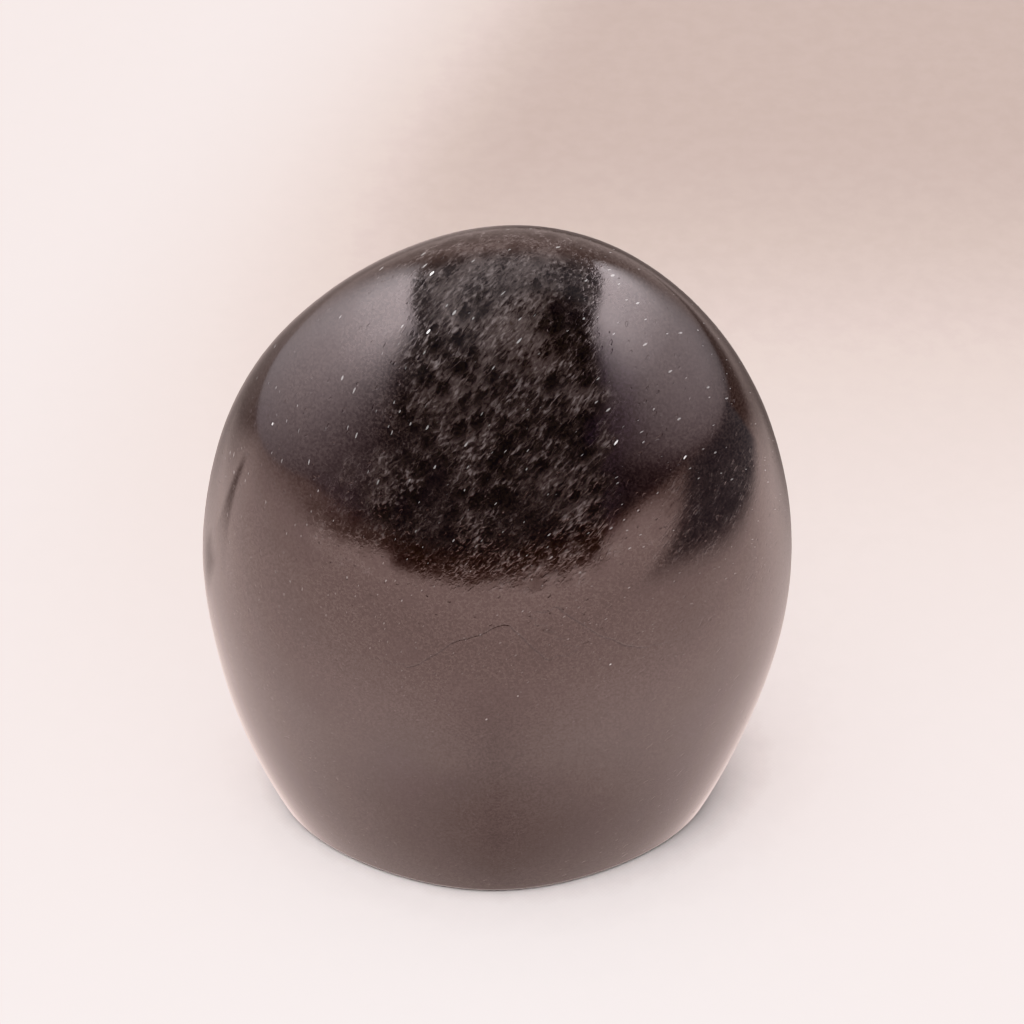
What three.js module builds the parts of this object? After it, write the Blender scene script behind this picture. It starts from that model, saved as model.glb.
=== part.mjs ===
/**
 * A polished freeform of black tourmaline: one tall rounded stone, wider than it is deep, that tucks in towards
 * the flat sawn base it stands on.
 *
 * Millimetres, +Z up. The base lies on z = 0, and the stone's box is centred on x = 0 and y = 0. The width runs
 * along X, and the broad front face looks along -Y.
 *
 * The surface is a radius worked out for every direction from the middle of the body: the radius of a plain
 * ellipsoid, raised or lowered a little by the swells and flats that hand grinding left.
 */
import * as THREE from "three";

// The plain ellipsoid under the swells.
const HALF_WIDTH = 32.4;
const HALF_DEPTH = 20.0;
const HALF_HEIGHT = 48.7;
const BODY_CENTRE = new THREE.Vector3(-0.4, 0.95, 28.7);

// Each swell lies towards one direction from the body's centre. Its rise is the height at its middle, in
// millimetres, below zero where the stone is flatter. Its spread says how widely it fades out.
const BROAD = 0.3;
const MIDDLING = 0.17;
const LOCAL = 0.06;
const SWELLS = [
  { place: "front face", towards: [0, -1, 0.3], spread: BROAD, rise: 1.75 },
  { place: "toe of the front face", towards: [0, -0.62, -1], spread: 0.1, rise: 2.0 },
  { place: "front left foot", towards: [-0.55, -0.8, -0.55], spread: MIDDLING, rise: -0.8 },
  { place: "front right foot", towards: [0.55, -0.8, -0.55], spread: MIDDLING, rise: -1.0 },
  { place: "back face", towards: [0.15, 1, 0.1], spread: MIDDLING, rise: -0.6 },
  { place: "left foot", towards: [-1, 0, -0.8], spread: MIDDLING, rise: -1.7 },
  { place: "right foot", towards: [1, 0, -0.8], spread: MIDDLING, rise: -1.7 },
  { place: "left hip", towards: [-1, -0.05, -0.1], spread: LOCAL, rise: -0.6 },
  { place: "left cheek", towards: [-0.91, 0.07, 0.4], spread: LOCAL, rise: -0.3 },
  { place: "right cheek", towards: [0.91, 0.07, 0.4], spread: LOCAL, rise: 0.5 },
  { place: "left shoulder", towards: [-0.65, 0.13, 0.74], spread: LOCAL, rise: 0.4 },
  { place: "right shoulder", towards: [0.65, 0.13, 0.74], spread: LOCAL, rise: 1.05 },
  { place: "left of the crown", towards: [-0.27, 0.17, 0.96], spread: LOCAL, rise: -0.95 },
  { place: "right of the crown", towards: [0.27, 0.17, 0.96], spread: LOCAL, rise: 1.05 },
].map((swell) => ({ ...swell, towards: new THREE.Vector3(...swell.towards).normalize() }));

// The sawn base has a softened edge, a quarter round drawn with a few rings.
const EDGE_RADIUS = 0.6;
const EDGE_STEPS = 2;

// How finely the surface is faceted.
const SIDES = 96;
const BODY_RINGS = 42;

const STONE_COLOUR = 0x1c1719;
const STONE_ROUGHNESS = 0.12;

/** The unit direction at an azimuth, turned from the front face towards +X, and a latitude above the level. */
function direction(azimuth, latitude) {
  const level = Math.cos(latitude);
  return new THREE.Vector3(level * Math.sin(azimuth), -level * Math.cos(azimuth), Math.sin(latitude));
}

/** The point of the stone's surface that lies in one direction from the body's centre. */
function surfacePoint(azimuth, latitude) {
  const out = direction(azimuth, latitude);
  let radius = 1 / Math.hypot(out.x / HALF_WIDTH, out.y / HALF_DEPTH, out.z / HALF_HEIGHT);
  for (const { towards, spread, rise } of SWELLS) {
    radius += rise * Math.exp((out.dot(towards) - 1) / spread);
  }
  return out.multiplyScalar(radius).add(BODY_CENTRE);
}

/** The latitude below the body's middle at which the surface passes a height, found by halving. */
function latitudeAtHeight(azimuth, height) {
  let low = -0.45 * Math.PI;
  let high = 0;
  for (let halving = 0; halving < 40; halving += 1) {
    const middle = (low + high) / 2;
    if (surfacePoint(azimuth, middle).z < height) low = middle;
    else high = middle;
  }
  return (low + high) / 2;
}

/** One closed ring of points, one for each side, from a rule that takes the side's azimuth. */
function ring(pointAt) {
  return Array.from({ length: SIDES }, (_, side) => pointAt((side / SIDES) * 2 * Math.PI));
}

/**
 * The rings of the softened edge, from the base plane up to where the full surface starts. The turn goes from
 * 0 on the base to a right angle on the wall, and each point is drawn in from the wall by the quarter round.
 */
function edgeRings() {
  return Array.from({ length: EDGE_STEPS }, (_, step) => {
    const turn = (step / EDGE_STEPS) * (Math.PI / 2);
    const height = EDGE_RADIUS * (1 - Math.cos(turn));
    const drawnIn = EDGE_RADIUS * (1 - Math.sin(turn));
    return ring((azimuth) => {
      const wall = surfacePoint(azimuth, latitudeAtHeight(azimuth, height));
      const outwards = direction(azimuth, 0);
      return wall.addScaledVector(outwards, -drawnIn).setZ(height);
    });
  });
}

/** The rings of the full surface, evenly spaced in latitude from the top of the edge to just under the crown. */
function bodyRings() {
  return Array.from({ length: BODY_RINGS }, (_, step) =>
    ring((azimuth) => {
      const lowest = latitudeAtHeight(azimuth, EDGE_RADIUS);
      return surfacePoint(azimuth, THREE.MathUtils.lerp(lowest, Math.PI / 2, step / BODY_RINGS));
    }),
  );
}

/** A closed surface: a flat fan from the bottom point, a band between each two rings and a fan to the top. */
function closedSurface(bottom, rings, top) {
  const points = [bottom, ...rings.flat(), top];
  const last = points.length - 1;
  const corner = (row, side) => 1 + row * SIDES + (side % SIDES);
  const faces = [];
  for (let side = 0; side < SIDES; side += 1) {
    faces.push(0, corner(0, side + 1), corner(0, side));
    for (let row = 0; row < rings.length - 1; row += 1) {
      faces.push(corner(row, side), corner(row, side + 1), corner(row + 1, side + 1));
      faces.push(corner(row, side), corner(row + 1, side + 1), corner(row + 1, side));
    }
    faces.push(corner(rings.length - 1, side), corner(rings.length - 1, side + 1), last);
  }
  const geometry = new THREE.BufferGeometry().setFromPoints(points);
  geometry.setIndex(faces);
  geometry.computeVertexNormals();
  return geometry;
}

/** The whole stone, from the middle of its base to its crown. */
function tourmalineStone() {
  const baseMiddle = new THREE.Vector3(0, 0, 0);
  const crown = surfacePoint(0, Math.PI / 2);
  const stone = new THREE.Mesh(
    closedSurface(baseMiddle, [...edgeRings(), ...bodyRings()], crown),
    new THREE.MeshStandardMaterial({ color: STONE_COLOUR, roughness: STONE_ROUGHNESS, metalness: 0 }),
  );
  stone.name = "tourmaline_stone";
  return stone;
}

const freeform = new THREE.Group();
freeform.name = "black_tourmaline_freeform";
freeform.add(tourmalineStone());

export default freeform;
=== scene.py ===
"""A polished freeform of black tourmaline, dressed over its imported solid.

Lengths are metres in the part's own frame: +Z is up, the stone stands on z = 0 and its broad front
face looks along -Y. Sizes that are easier to read in millimetres are written as a number times MM.
"""

import logging
import math
from dataclasses import dataclass
from enum import Enum

import bpy
import numpy as np
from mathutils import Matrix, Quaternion, Vector


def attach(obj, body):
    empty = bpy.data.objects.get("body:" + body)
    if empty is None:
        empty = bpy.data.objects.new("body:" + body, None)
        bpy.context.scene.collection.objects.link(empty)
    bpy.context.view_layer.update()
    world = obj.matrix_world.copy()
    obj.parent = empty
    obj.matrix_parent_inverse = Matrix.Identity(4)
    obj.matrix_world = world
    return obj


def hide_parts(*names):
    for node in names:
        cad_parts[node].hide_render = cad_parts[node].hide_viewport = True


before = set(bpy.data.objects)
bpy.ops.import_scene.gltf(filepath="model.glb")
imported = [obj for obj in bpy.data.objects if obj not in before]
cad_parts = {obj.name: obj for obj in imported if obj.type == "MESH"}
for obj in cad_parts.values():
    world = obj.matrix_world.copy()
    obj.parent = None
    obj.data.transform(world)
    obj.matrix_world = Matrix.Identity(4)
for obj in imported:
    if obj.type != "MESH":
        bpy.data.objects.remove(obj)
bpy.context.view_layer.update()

MM = 0.001
STONE_NODE = "tourmaline_stone"
BAKE_MAP = "OFBake"
PATCH_MAP = "patch_map"

# The numbers that the stone's mesh holds for each vertex.
SEAM = "seam"
CLOUDS = "clouds"
CRACK = "crack"
HAZE = "haze"

Pair = tuple[float, float]
Triple = tuple[float, float, float]
# A smooth step: where it starts, where it ends, and its result at either.
Step = tuple[float, float, float, float]
Socket = bpy.types.NodeSocket
log = logging.getLogger("freeform")


class Visibility(Enum):
    """Which rays meet a piece of the stage."""

    GLOSS = "the rays of gloss alone"
    ALL_BUT_GLOSS = "every ray but those of gloss"


# --------------------------------------------------------------------------------------------------
# Meshes from arrays


def grid_quads(rows: int, columns: int) -> np.ndarray:
    """Quads between the points of a grid in row order, each anticlockwise from its lower left.

    Args:
        rows: points from the first row to the last.
        columns: points along each row.

    Returns:
        An array of four point numbers for each quad.
    """
    corner = np.arange(rows * columns).reshape(rows, columns)
    around = (corner[:-1, :-1], corner[:-1, 1:], corner[1:, 1:], corner[1:, :-1])
    return np.stack([c.ravel() for c in around], axis=1)


def mesh_object(name: str, points: np.ndarray, faces: list[np.ndarray]) -> bpy.types.Object:
    """A smooth-shaded mesh object at the origin.

    Args:
        name: the object's name.
        points: one row of x, y and z for each vertex.
        faces: blocks of faces, each an array with one face's vertex numbers in each row.

    Returns:
        The linked object.
    """
    sides = np.concatenate([np.full(len(block), block.shape[1]) for block in faces])
    corners = np.concatenate([block.ravel() for block in faces]).astype(np.int32)
    mesh = bpy.data.meshes.new(name)
    mesh.vertices.add(len(points))
    mesh.vertices.foreach_set("co", points.astype(np.float32).ravel())
    mesh.loops.add(len(corners))
    mesh.loops.foreach_set("vertex_index", corners)
    mesh.polygons.add(len(sides))
    mesh.polygons.foreach_set("loop_start", (np.cumsum(sides) - sides).astype(np.int32))
    mesh.polygons.foreach_set("use_smooth", np.ones(len(sides), dtype=bool))
    mesh.update(calc_edges=True)
    mesh.validate()
    made = bpy.data.objects.new(name, mesh)
    bpy.context.scene.collection.objects.link(made)
    return made


def add_share(made: bpy.types.Object, name: str, values: np.ndarray) -> None:
    """Gives a mesh a named number for each vertex, which its material reads as an attribute."""
    layer = made.data.attributes.new(name, "FLOAT", "POINT")
    layer.data.foreach_set("value", values.astype(np.float32))


def add_map(made: bpy.types.Object, name: str, places: np.ndarray) -> None:
    """Gives a mesh a UV map, from one row of u and v for each corner of each face, in order."""
    layer = made.data.uv_layers.new(name=name)
    layer.uv.foreach_set("vector", places.astype(np.float32).ravel())


def direction(azimuth: np.ndarray, latitude: np.ndarray) -> np.ndarray:
    """Unit directions at angles turned from the front towards +X, and angles above the level."""
    level = np.cos(latitude)
    return np.stack([level * np.sin(azimuth), -level * np.cos(azimuth), np.sin(latitude)], axis=-1)


def smooth_lattice(points: np.ndarray, wavelength: float, seed: int) -> np.ndarray:
    """Smooth random heights between -1 and 1.

    Each corner of a cubic lattice holds a random number, and between corners the numbers are
    blended with the weight t * t * (3 - 2t) along each axis, where t is how far the point lies
    across its cell. The lattice repeats after its last corner.

    Args:
        points: places of the heights, one row each.
        wavelength: the lattice's spacing, in the points' own unit.
        seed: the random numbers' seed.

    Returns:
        One height for each point.
    """
    size = 32
    corners = np.random.default_rng(seed).uniform(-1, 1, (size, size, size))
    scaled = points / wavelength
    cell = np.floor(scaled).astype(int)
    across = scaled - cell
    weight = across * across * (3 - 2 * across)
    heights = np.zeros(len(points))
    for step in np.ndindex(2, 2, 2):
        offset = np.array(step)
        share = np.where(offset == 1, weight, 1 - weight).prod(axis=1)
        x, y, z = ((cell + offset) % size).T
        heights += share * corners[x, y, z]
    return heights


@dataclass(frozen=True)
class Waves:
    """Smooth random waves of one wavelength and one size, drawn from one seed."""

    wavelength: float
    size: float
    seed: int


def summed(waves: tuple[Waves, ...], points: np.ndarray) -> np.ndarray:
    """The sum of some waves at each point, each of them smooth random heights times its size."""
    return sum(wave.size * smooth_lattice(points, wave.wavelength, wave.seed) for wave in waves)


# --------------------------------------------------------------------------------------------------
# Node trees


@dataclass(frozen=True)
class Pattern:
    """A noise pattern: its repeats to the place's unit, its finer layers and their strength."""

    scale: float
    detail: float
    rough: float


class Graph:
    """Adds nodes to one tree and links them, so that each finish reads as a list of steps."""

    def __init__(self, tree: bpy.types.NodeTree) -> None:
        """Starts on an empty tree."""
        self.tree = tree
        self.tree.nodes.clear()

    def node(self, kind: str, **settings: object) -> bpy.types.Node:
        """A new node of the kind, with its settings.

        Args:
            kind: the node's type, without its ShaderNode prefix.
            settings: attributes to set on it.

        Returns:
            The node.
        """
        made = self.tree.nodes.new(f"ShaderNode{kind}")
        for attribute, value in settings.items():
            setattr(made, attribute, value)
        return made

    def feed(self, target: Socket, value: object) -> None:
        """Links a socket to another one, or sets it to a plain value.

        Args:
            target: the socket that takes the value.
            value: a socket, a number, a vector or a colour.
        """
        if isinstance(value, bpy.types.NodeSocket):
            self.tree.links.new(value, target)
        else:
            target.default_value = value

    def result(
        self, kind: str, inputs: dict[str | int, object], output: str | int = 0, **settings: object
    ) -> Socket:
        """What comes out of a new node.

        Args:
            kind: the node's type, without its ShaderNode prefix.
            inputs: what goes in, by the socket's name or number.
            output: the name or number of the socket that comes out.
            settings: attributes to set on the node.

        Returns:
            The output's socket.
        """
        made = self.node(kind, **settings)
        for name, value in inputs.items():
            self.feed(made.inputs[name], value)
        return made.outputs[output]

    def coordinates(self, name: str) -> Socket:
        """The texture coordinates of one kind."""
        return self.node("TexCoord").outputs[name]

    def share(self, name: str) -> Socket:
        """A number that the mesh holds for each vertex."""
        return self.node("Attribute", attribute_name=name).outputs["Fac"]

    def math(self, operation: str, *values: object, clamp: bool = False) -> Socket:
        """The result of one arithmetic step on sockets or numbers."""
        inputs = dict(enumerate(values))
        return self.result("Math", inputs, operation=operation, use_clamp=clamp)

    def vector(self, operation: str, *values: object) -> Socket:
        """The vector, the distance or the dot product that one step on vectors gives."""
        output = "Value" if operation in ("DISTANCE", "DOT_PRODUCT") else "Vector"
        return self.result("VectorMath", dict(enumerate(values)), output, operation=operation)

    def scaled(self, vector: Socket, factor: object) -> Socket:
        """A vector times a number."""
        inputs = {0: vector, "Scale": factor}
        return self.result("VectorMath", inputs, "Vector", operation="SCALE")

    def split(self, vector: Socket) -> list[Socket]:
        """The x, y and z of a vector."""
        apart = self.result("SeparateXYZ", {0: vector})
        return list(apart.node.outputs)

    def ramp(
        self, value: object, low: object, high: object, start: object = 0.0, end: object = 1.0
    ) -> Socket:
        """A smooth step of a value: start up to low, end from high on, and smooth between them."""
        inputs = dict(enumerate((value, low, high, start, end)))
        return self.result("MapRange", inputs, "Result", interpolation_type="SMOOTHSTEP")

    def mix(self, share: object, first: Triple | Socket, second: Triple | Socket) -> Socket:
        """A colour that goes from one to another.

        Args:
            share: how much of the second colour there is, from 0 to 1.
            first: the colour at 0, as three numbers or a socket.
            second: the colour at 1.

        Returns:
            The mixed colour.
        """
        made = self.node("Mix", data_type="RGBA")
        for name, value in (("Factor_Float", share), ("A_Color", first), ("B_Color", second)):
            target = next(socket for socket in made.inputs if socket.identifier == name)
            self.feed(target, (*value, 1) if isinstance(value, tuple) else value)
        return next(socket for socket in made.outputs if socket.identifier == "Result_Color")

    def noise(self, place: Socket, pattern: Pattern, **more: float) -> Socket:
        """A noise pattern in space.

        Args:
            place: where the pattern is read.
            pattern: its scale, detail and roughness.
            more: values of the node's other inputs.

        Returns:
            The pattern's height, mostly between 0.3 and 0.7.
        """
        inputs = {
            "Vector": place,
            "Scale": pattern.scale,
            "Detail": pattern.detail,
            "Roughness": pattern.rough,
            **more,
        }
        return self.result("TexNoise", inputs, noise_dimensions="3D")

    def end(self, shader: Socket, kind: str = "OutputMaterial") -> None:
        """Ends the tree in a shader."""
        self.feed(self.node(kind).inputs["Surface"], shader)

    def glow(self, tint: object, strength: object, fade: Socket | None = None) -> None:
        """Ends the tree in a light of its own.

        Args:
            tint: the light's colour.
            strength: how bright it is.
            fade: how much of it there is, where it gives way to clear at 0.
        """
        shown = self.result("Emission", {"Color": tint, "Strength": strength})
        if fade is not None:
            clear = self.node("BsdfTransparent").outputs[0]
            shown = self.result("MixShader", {0: fade, 1: clear, 2: shown})
        self.end(shown)


def new_material(name: str) -> tuple[bpy.types.Material, Graph]:
    """A new material with an empty tree.

    Args:
        name: the material's name.

    Returns:
        The material, and the graph that fills its tree.
    """
    made = bpy.data.materials.new(name)
    made.use_nodes = True
    return made, Graph(made.node_tree)


# --------------------------------------------------------------------------------------------------
# Finishes


@dataclass(frozen=True)
class Grain:
    """What shows of the stone's grain at a place, each as a share or a height.

    There is the seams' share, the dimples, the streaks along the needles and the fine grain.
    """

    seam: Socket
    dimples: Socket
    streaks: Socket
    fine: Socket


@dataclass(frozen=True)
class NeedleGrain:
    """The crystal's grain, whose needles all run one way. Repeats are to the millimetre.

    A draw below 1 makes a pattern longer along the needles.
    """

    axis: Triple = (0.64, 0.47, 0.61)
    fine: Pattern = Pattern(3.5, 1.0, 0.6)
    streaks: Pattern = Pattern(3.1, 2.0, 0.62)
    streak_draw: float = 0.36
    streak_wander: float = 0.5
    dimple_scale: float = 0.62
    dimple_draw: float = 0.7
    dimple_bowl: Step = (0.1, 0.75, 1.0, 0.0)
    dimple_least: float = 0.2

    def turn(self) -> Quaternion:
        """The turn that takes X to the needles' direction."""
        return Vector(self.axis).to_track_quat("X", "Z")

    def along(self, graph: Graph, metres: Socket) -> Socket:
        """The place in millimetres, turned so that X runs along the needles.

        Args:
            graph: the material's graph.
            metres: the place in metres.

        Returns:
            The turned place.
        """
        rotation = tuple(self.turn().to_euler())
        turned = {"Vector": metres, "Rotation": rotation, "Scale": (MM, MM, MM)}
        return graph.result("Mapping", turned, "Vector", vector_type="TEXTURE")

    def show(self, graph: Graph, place: Socket, along: Socket) -> Grain:
        """The patterns of the grain, for the stone's colour and its relief alike.

        A dimple is a round hollow about the middle of each cell of a cellular pattern, and its
        depth is drawn for each cell between the least one and 1. The streaks shift the cells.

        Args:
            graph: the material's graph.
            place: the place in millimetres.
            along: the same place, with X along the needles.

        Returns:
            The four patterns.
        """
        fine = graph.noise(place, self.fine)
        drawn = graph.vector("MULTIPLY", along, (self.streak_draw, 1.0, 1.0))
        streaks = graph.noise(drawn, self.streaks, Distortion=self.streak_wander)
        drawn = graph.vector("MULTIPLY", along, (self.dimple_draw, 1.0, 1.0))
        cells = graph.node("TexVoronoi", voronoi_dimensions="3D", feature="F1")
        graph.feed(cells.inputs["Vector"], graph.vector("ADD", drawn, streaks))
        graph.feed(cells.inputs["Scale"], self.dimple_scale)
        draw = graph.result("SeparateColor", {0: cells.outputs["Color"]})
        deep = graph.math("MULTIPLY_ADD", draw, 1 - self.dimple_least, self.dimple_least)
        hollow = graph.ramp(cells.outputs["Distance"], *self.dimple_bowl)
        return Grain(graph.share(SEAM), graph.math("MULTIPLY", hollow, deep), streaks, fine)


@dataclass(frozen=True)
class FlecksAndGlints:
    """Slender pale flecks all over the stone, paler towards the crown.

    They are partly pale inclusions and partly painted glints. They lie on the stone's own map,
    which counts as some millimetres across, and lean to the right on its front face.
    """

    across_map: float = 215.0
    lean: float = math.radians(40)
    scale: float = 5.5
    spots: Step = (0.855, 0.93, 0.0, 1.0)
    rise: Step = (36.0, 56.0, 0.12, 0.35)

    def share(self, graph: Graph, height: Socket, slender: float) -> Socket:
        """How much of a fleck shows at a place.

        Args:
            graph: the material's graph.
            height: the height over the base in millimetres.
            slender: how wide a fleck is for its length.

        Returns:
            A share from 0 to 1.
        """
        laid = {
            "Vector": graph.coordinates("UV"),
            "Rotation": (0.0, 0.0, -self.lean),
            "Scale": (self.across_map, self.across_map, 1.0),
        }
        turned = graph.result("Mapping", laid, "Vector", vector_type="POINT")
        drawn = graph.vector("MULTIPLY", turned, (slender, 1.0, 1.0))
        inputs = {"Vector": drawn, "Scale": self.scale, "Detail": 0.0}
        spots = graph.result("TexNoise", inputs, noise_dimensions="2D")
        shown = graph.ramp(spots, *self.spots)
        return graph.math("MULTIPLY", shown, graph.ramp(height, *self.rise))


@dataclass(frozen=True)
class ChipAndGlint:
    """A larger pale chip, partly a painted glint, by its middle and its half width in millimetres.
    """

    middle: Triple
    size: float


@dataclass(frozen=True)
class StoneColour:
    """The stone's colour: brownish black and clouded, and blacker in the seams.

    Paler needles and a milky haze show in the seams. Slender flecks lie all over, with a few
    larger pale chips. The needles, flecks and chips are partly pale inclusions and partly
    painted glints.
    """

    black: Triple = (0.0040, 0.0031, 0.0024)
    dusk: Triple = (0.0078, 0.0062, 0.0060)
    brown: Triple = (0.0150, 0.0114, 0.0103)
    violet: Triple = (0.0075, 0.0052, 0.0070)
    # Pale needle colour: partly pale inclusions, partly painted glints.
    needle_and_glint: Triple = (0.2000, 0.1720, 0.1700)
    milk: Triple = (0.212, 0.167, 0.158)
    # Pale chip colour: partly pale inclusions, partly painted glints.
    chip_and_glint: Triple = (0.62, 0.60, 0.59)
    brown_clouds: Step = (-0.3, 0.6, 0.0, 1.0)
    violet_clouds: Step = (-0.1, -0.5, 0.0, 1.0)
    blacker: Step = (0.1, 0.7, 0.0, 1.0)
    speckle: Step = (0.32, 0.68, 0.1, 1.9)
    needles: Step = (0.50, 0.84, 0.0, 0.62)
    needle_dimples: float = -0.5
    hazy: Step = (0.57, 1.75, 0.0, 0.42)
    haze_streaks: float = 1.7
    haze_dimples: float = -0.6
    slender: float = 0.3
    chip_ragged: float = 0.6
    chip_least: float = 0.7
    flecks_and_glints: FlecksAndGlints = FlecksAndGlints()
    chips_and_glints: tuple[ChipAndGlint, ...] = (
        ChipAndGlint((-6.3, -1.6, 76.1), 0.15),
        ChipAndGlint((-6.8, -6.9, 72.6), 0.16),
        ChipAndGlint((-23.0, -6.1, 59.7), 0.10),
        ChipAndGlint((12.1, -11.8, 62.3), 0.12),
        ChipAndGlint((19.2, -9.8, 58.6), 0.09),
        ChipAndGlint((2.1, -20.4, 34.7), 0.07),
        ChipAndGlint((-1.1, -20.4, 31.4), 0.06),
        ChipAndGlint((11.8, -18.1, 37.2), 0.06),
    )

    def body(self, graph: Graph, grain: Grain) -> Socket:
        """The dark body: dusk, clouded brown and violet, black in the seams and finely speckled.

        Args:
            graph: the material's graph.
            grain: the patterns of the grain.

        Returns:
            The colour's socket.
        """
        clouds = graph.share(CLOUDS)
        brown = graph.mix(graph.ramp(clouds, *self.brown_clouds), self.dusk, self.brown)
        tinted = graph.mix(graph.ramp(clouds, *self.violet_clouds), brown, self.violet)
        body = graph.mix(graph.ramp(grain.seam, *self.blacker), tinted, self.black)
        return graph.scaled(body, graph.ramp(grain.fine, *self.speckle))

    def needled_and_glinting(self, graph: Graph, grain: Grain, body: Socket) -> Socket:
        """The body with what the seams add: milky haze, and needles on top of it.

        Both follow the streaks and leave the dimples dark. The needles are partly painted glints.

        Args:
            graph: the material's graph.
            grain: the patterns of the grain.
            body: the body's colour.

        Returns:
            The colour's socket.
        """
        dimmed = graph.math("MULTIPLY", grain.dimples, self.haze_dimples)
        uneven = graph.math("MULTIPLY_ADD", grain.streaks, self.haze_streaks, dimmed)
        hazy = graph.ramp(graph.math("ADD", uneven, graph.share(HAZE)), *self.hazy)
        milky = graph.mix(graph.math("MULTIPLY", hazy, grain.seam), body, self.milk)
        near = graph.math("MULTIPLY_ADD", grain.dimples, self.needle_dimples, grain.streaks)
        pale = graph.ramp(near, *self.needles)
        # Pale needles painted in the seams: partly inclusions, partly painted glints.
        return graph.mix(graph.math("MULTIPLY", pale, grain.seam), milky, self.needle_and_glint)

    def chipped_and_glinting(
        self, graph: Graph, along: Socket, grain: Grain, needles: NeedleGrain, flecks_and_glints: Socket
    ) -> Socket:
        """The flecks and the larger chips: ellipsoids along the needles, ragged at the rim.

        They are partly pale inclusions and partly painted glints.

        Args:
            graph: the material's graph.
            along: the place in millimetres, with X along the needles.
            grain: the patterns of the grain.
            needles: the needles' direction.
            flecks_and_glints: how much of a fleck shows.

        Returns:
            A share that is 1 on a chip and the flecks' own elsewhere.
        """
        drawn = graph.vector("MULTIPLY", along, (self.slender, 1.0, 1.0))
        ragged = graph.math("MULTIPLY_ADD", grain.streaks, self.chip_ragged, self.chip_least)
        pale = flecks_and_glints
        for chip_and_glint in self.chips_and_glints:
            x, y, z = needles.turn().inverted() @ Vector(chip_and_glint.middle)
            away = graph.vector("DISTANCE", drawn, (x * self.slender, y, z))
            within = graph.math("LESS_THAN", away, graph.math("MULTIPLY", ragged, chip_and_glint.size))
            pale = graph.math("MAXIMUM", pale, within)
        return pale

    def show(
        self, graph: Graph, height: Socket, along: Socket, grain: Grain, needles: NeedleGrain
    ) -> Socket:
        """The whole colour.

        Args:
            graph: the material's graph.
            height: the height over the base in millimetres.
            along: the place in millimetres, with X along the needles.
            grain: the patterns of the grain.
            needles: the needles' direction.

        Returns:
            The colour's socket.
        """
        lit = self.needled_and_glinting(graph, grain, self.body(graph, grain))
        flecks_and_glints = self.flecks_and_glints.share(graph, height, self.slender)
        pale = self.chipped_and_glinting(graph, along, grain, needles, flecks_and_glints)
        # Chips and flecks painted pale: partly inclusions, partly painted glints.
        return graph.mix(pale, lit, self.chip_and_glint)


@dataclass(frozen=True)
class FineRelief:
    """The fine relief that catches the light, in millimetres.

    Ridges and dimples along the needles stand out in the seams. Fine grain and pits lie all over,
    and healed cracks cross the front face.
    """

    ridges: Step = (0.46, 0.75, 0.0, 0.01)
    dimples: float = -0.007
    fine: float = 0.002
    pit_pattern: Pattern = Pattern(2.1, 0.0, 0.5)
    pit_draw: float = 0.5
    pit_spots: Step = (0.77, 0.82, 0.0, 1.0)
    pits: float = -0.015
    crack_width: Step = (0.05, 0.14, 1.0, 0.0)
    cracks: float = -0.03

    def show(self, graph: Graph, along: Socket, grain: Grain) -> Socket:
        """The relief as a bump on the surface.

        Args:
            graph: the material's graph.
            along: the place in millimetres, with X along the needles.
            grain: the patterns of the grain.

        Returns:
            The bumped normal.
        """
        ridges = graph.ramp(grain.streaks, *self.ridges)
        rough = graph.math("MULTIPLY_ADD", grain.dimples, self.dimples, ridges)
        fine = graph.math("MULTIPLY", grain.fine, self.fine)
        height = graph.math("MULTIPLY_ADD", rough, grain.seam, fine)
        drawn = graph.vector("MULTIPLY", along, (self.pit_draw, 1.0, 1.0))
        pits = graph.ramp(graph.noise(drawn, self.pit_pattern), *self.pit_spots)
        height = graph.math("MULTIPLY_ADD", pits, self.pits, height)
        beside = graph.math("ABSOLUTE", graph.share(CRACK))
        crack = graph.ramp(beside, *self.crack_width)
        height = graph.math("MULTIPLY_ADD", crack, self.cracks, height)
        return graph.result("Bump", {"Strength": 1.0, "Distance": MM, "Height": height})


@dataclass(frozen=True)
class TourmalinePolish:
    """Polished black tourmaline: a near-black gloss that shows the crystal's needle grain.

    The roughness of the seams and of the base is added to the polish's own. The base reaches up
    to its height in millimetres.
    """

    index: float = 1.63
    gloss_tint: Triple = (1.0, 0.86, 0.85)
    rough: float = 0.10
    seam_rough: float = -0.02
    base_rough: float = 0.25
    base_height: float = 0.06
    needles: NeedleGrain = NeedleGrain()
    colour: StoneColour = StoneColour()
    relief: FineRelief = FineRelief()

    def material(self) -> bpy.types.Material:
        """The stone's material, on object coordinates and on a copy turned along the needles.

        Returns:
            The material.
        """
        made, graph = new_material("polished_black_tourmaline")
        metres = graph.coordinates("Object")
        place = graph.scaled(metres, 1 / MM)
        height = graph.split(place)[2]
        along = self.needles.along(graph, metres)
        grain = self.needles.show(graph, place, along)
        shader = {
            "Base Color": self.colour.show(graph, height, along, grain, self.needles),
            "Roughness": self.roughness(graph, height, grain.seam),
            "Normal": self.relief.show(graph, along, grain),
            "IOR": self.index,
            "Specular Tint": (*self.gloss_tint, 1),
        }
        graph.end(graph.result("BsdfPrincipled", shader))
        return made

    def roughness(self, graph: Graph, height: Socket, seam: Socket) -> Socket:
        """The roughness: a little less of it in the seams, and a matt sawn base.

        Args:
            graph: the material's graph.
            height: the height over the base in millimetres.
            seam: the seams' share.

        Returns:
            The roughness.
        """
        polished = graph.math("MULTIPLY_ADD", seam, self.seam_rough, self.rough)
        base = graph.math("LESS_THAN", height, self.base_height)
        return graph.math("MULTIPLY_ADD", base, self.base_rough, polished, clamp=True)


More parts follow.
